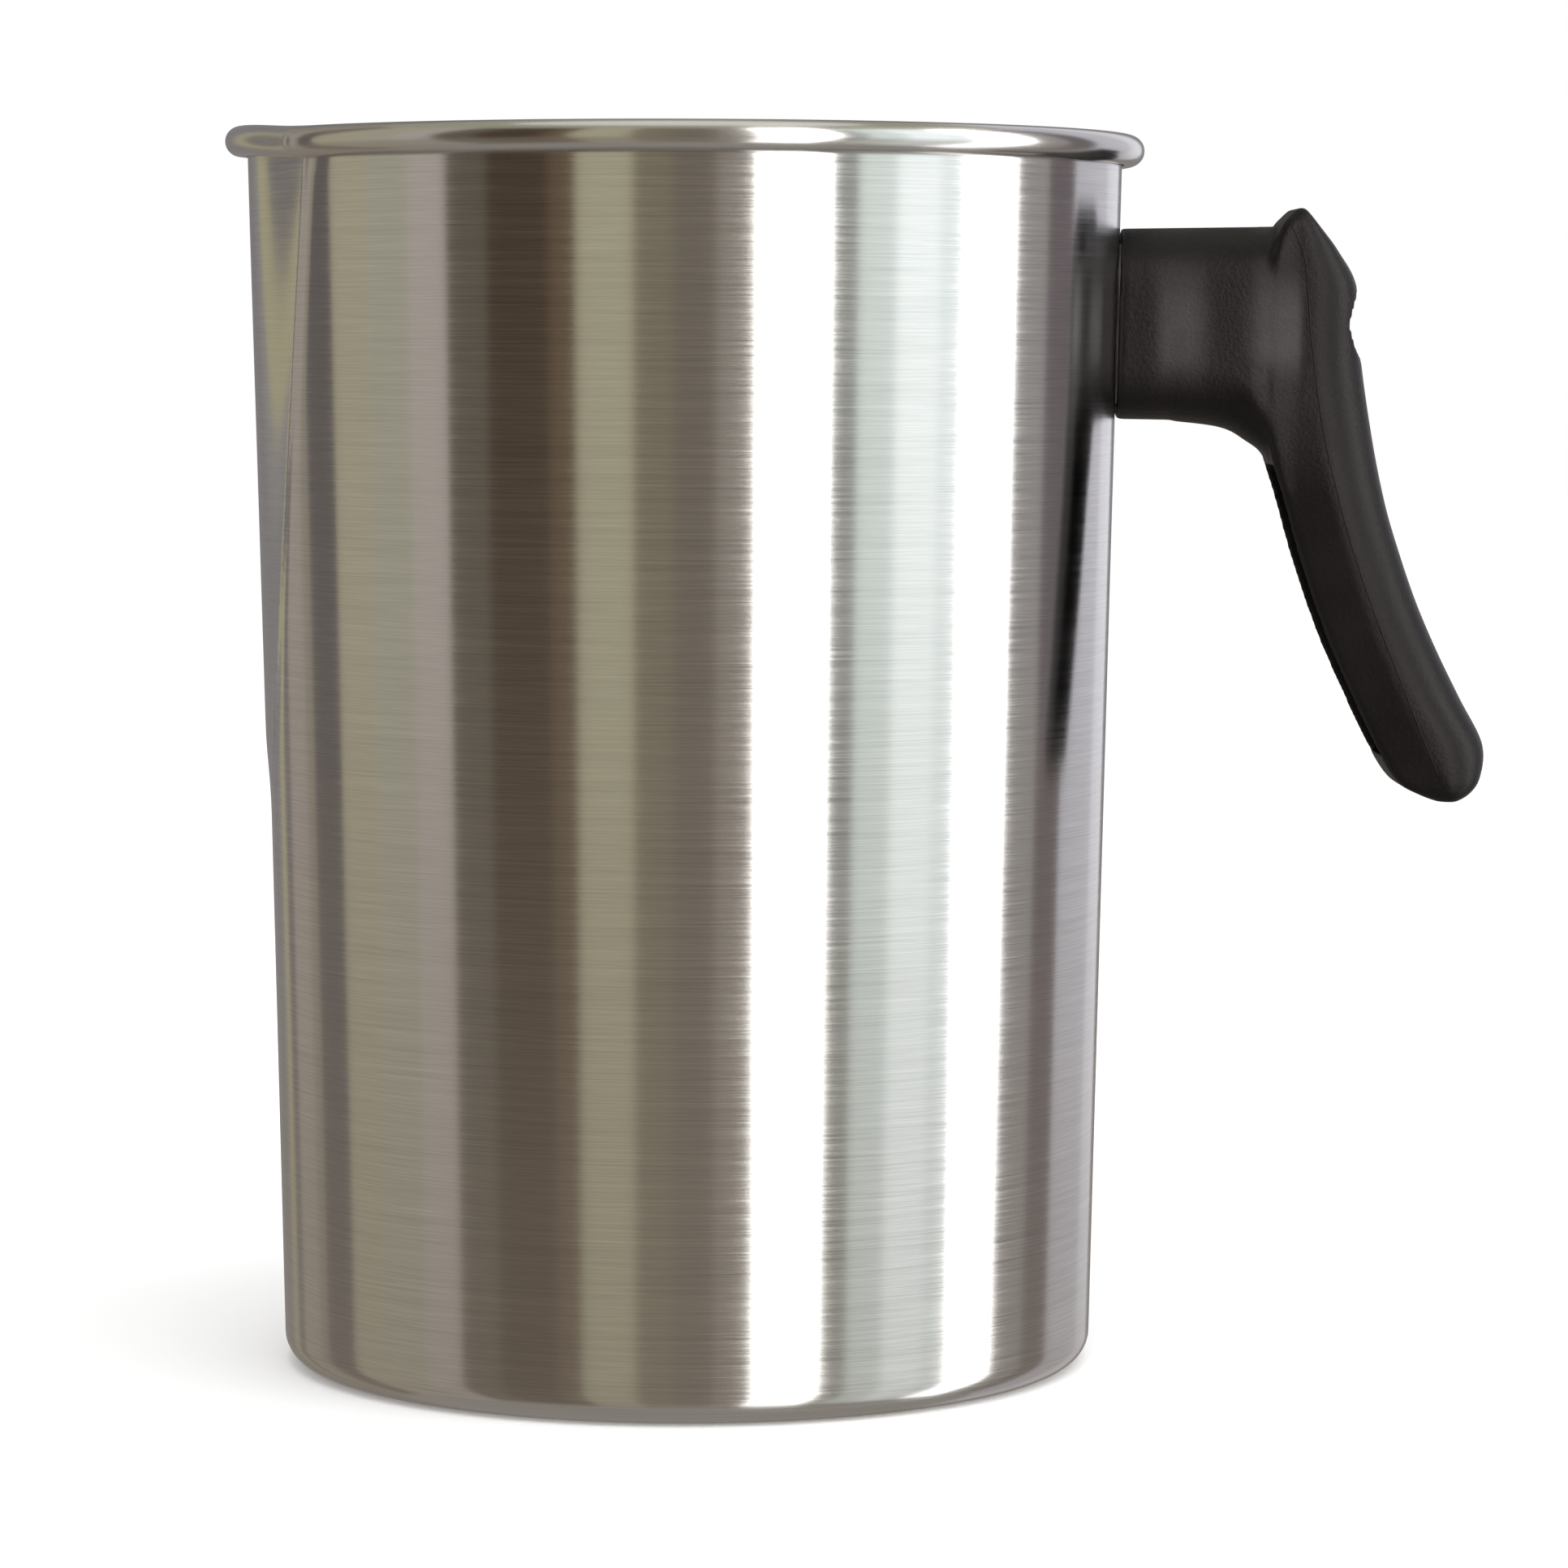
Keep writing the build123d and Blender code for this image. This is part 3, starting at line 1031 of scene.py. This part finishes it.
# The web under the neck, where it turns down into the grip, in millimetres: distance from
# the pot's axis, underside height, corner radius and half-width.
ELBOW = (
    (90.0, 174.6, 10.3, 10.35),
    (95.0, 174.1, 10.3, 10.4),
    (98.6, 173.5, 10.2, 10.4),
    (101.0, 172.6, 10.0, 10.4),
    (103.0, 171.3, 9.6, 10.4),
    (104.6, 170.3, 9.0, 10.35),
    (106.0, 169.3, 8.0, 10.3),
    (107.3, 167.6, 6.4, 10.15),
    (108.5, 164.8, 4.4, 9.9),
    (110.0, 160.4, 2.6, 9.5),
    (113.0, 158.0, 1.8, 9.2),
)


def elbow_fill():
    """The web as a shell, with its top inside the neck."""
    rings = []
    steps = 40
    for i in range(steps + 1):
        x, under, corner, half = curve_through(ELBOW, i / steps)
        side = [(half, 192.0), (half, under + corner)]
        for j in range(1, 11):
            turn = pi / 2 * j / 10
            side.append((half - corner + corner * cos(turn), under + corner - corner * sin(turn)))
        ring = side + [(-w, z) for w, z in reversed(side)]
        rings.append([Vector((x, w, z)) * MM for w, z in ring])
    return lofted("elbow", rings)


# ------------------------------------------------------------------ the fixings


class POT_OT_fixings(bpy.types.Operator):
    """Finish the bracket, the nut, the screw and the washers"""

    bl_idname = "melting_pot.fixings"
    bl_label = "Fixings"

    def execute(self, context):
        zinc = plated("bright zinc plate", (0.52, 0.52, 0.54, 1), (0.74, 0.74, 0.76, 1), 0.26)
        stamped = plated("stamped bracket steel", (0.38, 0.38, 0.37, 1), (0.55, 0.54, 0.52, 1), 0.42)
        spring = plated("blued spring steel", (0.20, 0.20, 0.22, 1), (0.34, 0.34, 0.36, 1), 0.34)
        finishes = {
            "handle_bracket": stamped,
            "weld_nut": zinc,
            "handle_screw": zinc,
            "flat_washer": zinc,
            "spring_washer": spring,
        }
        for node, material in finishes.items():
            piece = bpy.data.objects[node]
            for slot in piece.material_slots:
                slot.material = material
            if not piece.material_slots:
                piece.data.materials.append(material)
        return {"FINISHED"}


# ------------------------------------------------------------------ the studio


# The light tent: strips of card and cloth round the pot, each from where the last one ends,
# as (azimuth in degrees where it ends, colour and strength as linear light).
TENT_START = -200.0
TENT = (
    (-152.5, (0.25, 0.235, 0.235)),
    (-149.0, (0.29, 0.275, 0.275)),
    (-144.0, (0.47, 0.43, 0.28)),
    (-138.5, (0.22, 0.20, 0.20)),
    (-126.0, (0.44, 0.39, 0.34)),
    (-121.0, (0.36, 0.32, 0.26)),
    (-107.0, (0.17, 0.15, 0.145)),
    (-92.0, (0.52, 0.475, 0.35)),
    (-77.0, (0.50, 0.48, 0.385)),
    (-65.0, (0.57, 0.515, 0.465)),
    (-53.0, (0.155, 0.135, 0.105)),
    (-36.0, (0.090, 0.062, 0.042)),
    (-29.0, (0.165, 0.115, 0.075)),
    (-14.0, (0.55, 0.52, 0.37)),
    (-4.0, (0.27, 0.235, 0.17)),
    (7.0, (0.22, 0.19, 0.155)),
    (14.0, (0.36, 0.32, 0.28)),
    (17.5, (0.40, 0.36, 0.31)),
    (36.5, (6.20, 6.10, 6.00)),
    (44.0, (0.40, 0.41, 0.38)),
    (55.0, (1.05, 1.15, 1.11)),
    (68.0, (1.50, 1.60, 1.60)),
    (76.0, (1.25, 1.36, 1.36)),
    (94.0, (5.20, 5.10, 5.10)),
    (108.0, (0.42, 0.40, 0.39)),
    (121.0, (0.20, 0.17, 0.18)),
    (145.0, (0.72, 0.71, 0.77)),
    (160.0, (0.90, 0.90, 0.96)),
)
ROOM_COLOUR = (0.30, 0.255, 0.205)
CEILING_COLOUR = (0.46, 0.44, 0.34)
SKYLIGHT_COLOUR = (0.95, 0.95, 0.90)
SKYLIGHT_RADIUS = 1.0
SKYLIGHT_GAP = 0.02  # how far it hangs below the ceiling
CAMERA_PLACE = (0.0, -1.0514, 0.1890)
UNDER_COLOUR = (0.36, 0.33, 0.30)
HAZE = 0.55
TENT_RADIUS = 2.2
TENT_LOW = -2.2
TENT_HIGH = 2.6


def tent_strip(name, start, end, colour):
    """One upright strip of the tent, curved, facing the pot."""
    steps = max(2, int((end - start) / 2))
    points = []
    for i in range(steps + 1):
        angle = radians(start + (end - start) * i / steps)
        x = TENT_RADIUS * sin(angle)
        y = -TENT_RADIUS * cos(angle)
        points += [(x, y, TENT_LOW), (x, y, TENT_HIGH)]
    faces = [(2 * i, 2 * i + 2, 2 * i + 3, 2 * i + 1) for i in range(steps)]
    strip = new_object(name, mesh_from(name, points, faces))
    only_reflected(strip, glow(name, colour, bpy.context.scene.studio_look.cards, HAZE))


def tent_end(name, height, colour, radius):
    """A round card that closes the tent above or below."""
    steps = 64
    points = [
        (radius * cos(tau * i / steps), radius * sin(tau * i / steps), height)
        for i in range(steps)
    ]
    card = new_object(name, mesh_from(name, points, [tuple(range(steps))]))
    only_reflected(card, glow(name, colour, bpy.context.scene.studio_look.cards))


def only_reflected(card, material):
    """Let a card be seen only in polished surfaces."""
    card.data.materials.append(material)
    card.visible_camera = False
    card.visible_diffuse = False
    card.visible_shadow = False
    card.visible_transmission = False


class POT_OT_studio(bpy.types.Operator):
    """Make the floor, the light tent, the world and the camera"""

    bl_idname = "melting_pot.studio"
    bl_label = "Studio"

    def execute(self, context):
        self.floor()
        self.world(context)
        self.camera(context)
        end = TENT_START
        for number, (stop, colour) in enumerate(TENT):
            tent_strip(f"tent_{number:02d}", end, stop, colour)
            end = stop
        tent_end("tent_ceiling", TENT_HIGH, CEILING_COLOUR, TENT_RADIUS)
        tent_end("tent_skylight", TENT_HIGH - SKYLIGHT_GAP, SKYLIGHT_COLOUR, SKYLIGHT_RADIUS)
        tent_end("tent_ground", TENT_LOW, UNDER_COLOUR, TENT_RADIUS)
        self.key()
        return {"FINISHED"}

    def floor(self):
        reach = 6.0
        corners = [(-reach, -reach, 0), (reach, -reach, 0), (reach, reach, 0), (-reach, reach, 0)]
        floor = new_object("floor", mesh_from("floor", corners, [(0, 1, 2, 3)]))
        floor.data.materials.append(pale_floor())
        floor.visible_glossy = False

    def world(self, context):
        world = bpy.data.worlds.new("white studio")
        world.use_nodes = True
        back = world.node_tree.nodes["Background"]
        back.inputs["Color"].default_value = (1.0, 1.0, 1.0, 1.0)
        back.inputs["Strength"].default_value = context.scene.studio_look.world
        context.scene.world = world

    def key(self):
        light = bpy.data.lights.new("overhead softbox", "AREA")
        light.shape = "RECTANGLE"
        light.size = 1.6
        light.size_y = 1.2
        light.energy = 14.0
        lamp = bpy.data.objects.new("overhead softbox", light)
        lamp.location = (0.3, -0.6, 1.7)
        lamp.visible_glossy = False
        aim(lamp, Vector((0.0, 0.0, 0.1)))
        bpy.context.scene.collection.objects.link(lamp)

    def camera(self, context):
        lens = bpy.data.cameras.new("front camera")
        lens.lens = 130.0
        lens.sensor_width = 36.0
        lens.clip_end = 50.0
        view = bpy.data.objects.new("front camera", lens)
        view.matrix_world = camera_stand()
        context.scene.collection.objects.link(view)
        context.scene.camera = view


def aim(lamp, target):
    lamp.rotation_euler = (target - lamp.location).to_track_quat("-Z", "Y").to_euler()


def camera_stand():
    """Where the camera stands and how it is turned."""
    pitch = radians(4.457)
    yaw = radians(0.974)
    roll = radians(0.134)
    ahead = Vector((sin(yaw) * cos(pitch), cos(yaw) * cos(pitch), -sin(pitch)))
    right = Vector((cos(yaw), -sin(yaw), 0.0))
    up = right.cross(ahead)
    level_right = right * cos(roll) + up * sin(roll)
    level_up = up * cos(roll) - right * sin(roll)
    turn = Matrix((level_right, level_up, -ahead)).transposed().to_4x4()
    return Matrix.Translation(CAMERA_PLACE) @ turn


# ------------------------------------------------------------------ the add-on


class POT_PT_panel(bpy.types.Panel):
    """Sizes and steps of the melting pot"""

    bl_idname = "POT_PT_panel"
    bl_label = "Melting pot"
    bl_space_type = "VIEW_3D"
    bl_region_type = "UI"
    bl_category = "Melting pot"

    def draw(self, context):
        column = self.layout.column()
        for group in (context.scene.pot_sizes, context.scene.handle_sizes, context.scene.studio_look):
            for name in group.bl_rna.properties.keys():
                if name not in {"rna_type", "name"}:
                    column.prop(group, name)
        for step in STEPS:
            column.operator(step.bl_idname)


STEPS = (POT_OT_studio, POT_OT_body, POT_OT_welds, POT_OT_handle, POT_OT_fixings)
GROUPS = {"pot_sizes": PotSizes, "handle_sizes": HandleSizes, "studio_look": StudioLook}


def register():
    for group in GROUPS.values():
        bpy.utils.register_class(group)
    for name, group in GROUPS.items():
        setattr(bpy.types.Scene, name, bpy.props.PointerProperty(type=group))
    for step in STEPS:
        bpy.utils.register_class(step)
    bpy.utils.register_class(POT_PT_panel)


def unregister():
    bpy.utils.unregister_class(POT_PT_panel)
    for step in reversed(STEPS):
        bpy.utils.unregister_class(step)
    for name in GROUPS:
        delattr(bpy.types.Scene, name)
    for group in GROUPS.values():
        bpy.utils.unregister_class(group)


def main():
    register()
    bpy.context.scene.view_settings.view_transform = "Standard"
    bpy.ops.melting_pot.studio()
    bpy.ops.melting_pot.body()
    bpy.ops.melting_pot.welds()
    bpy.ops.melting_pot.handle()
    bpy.ops.melting_pot.fixings()


if __name__ == "__main__":
    main()
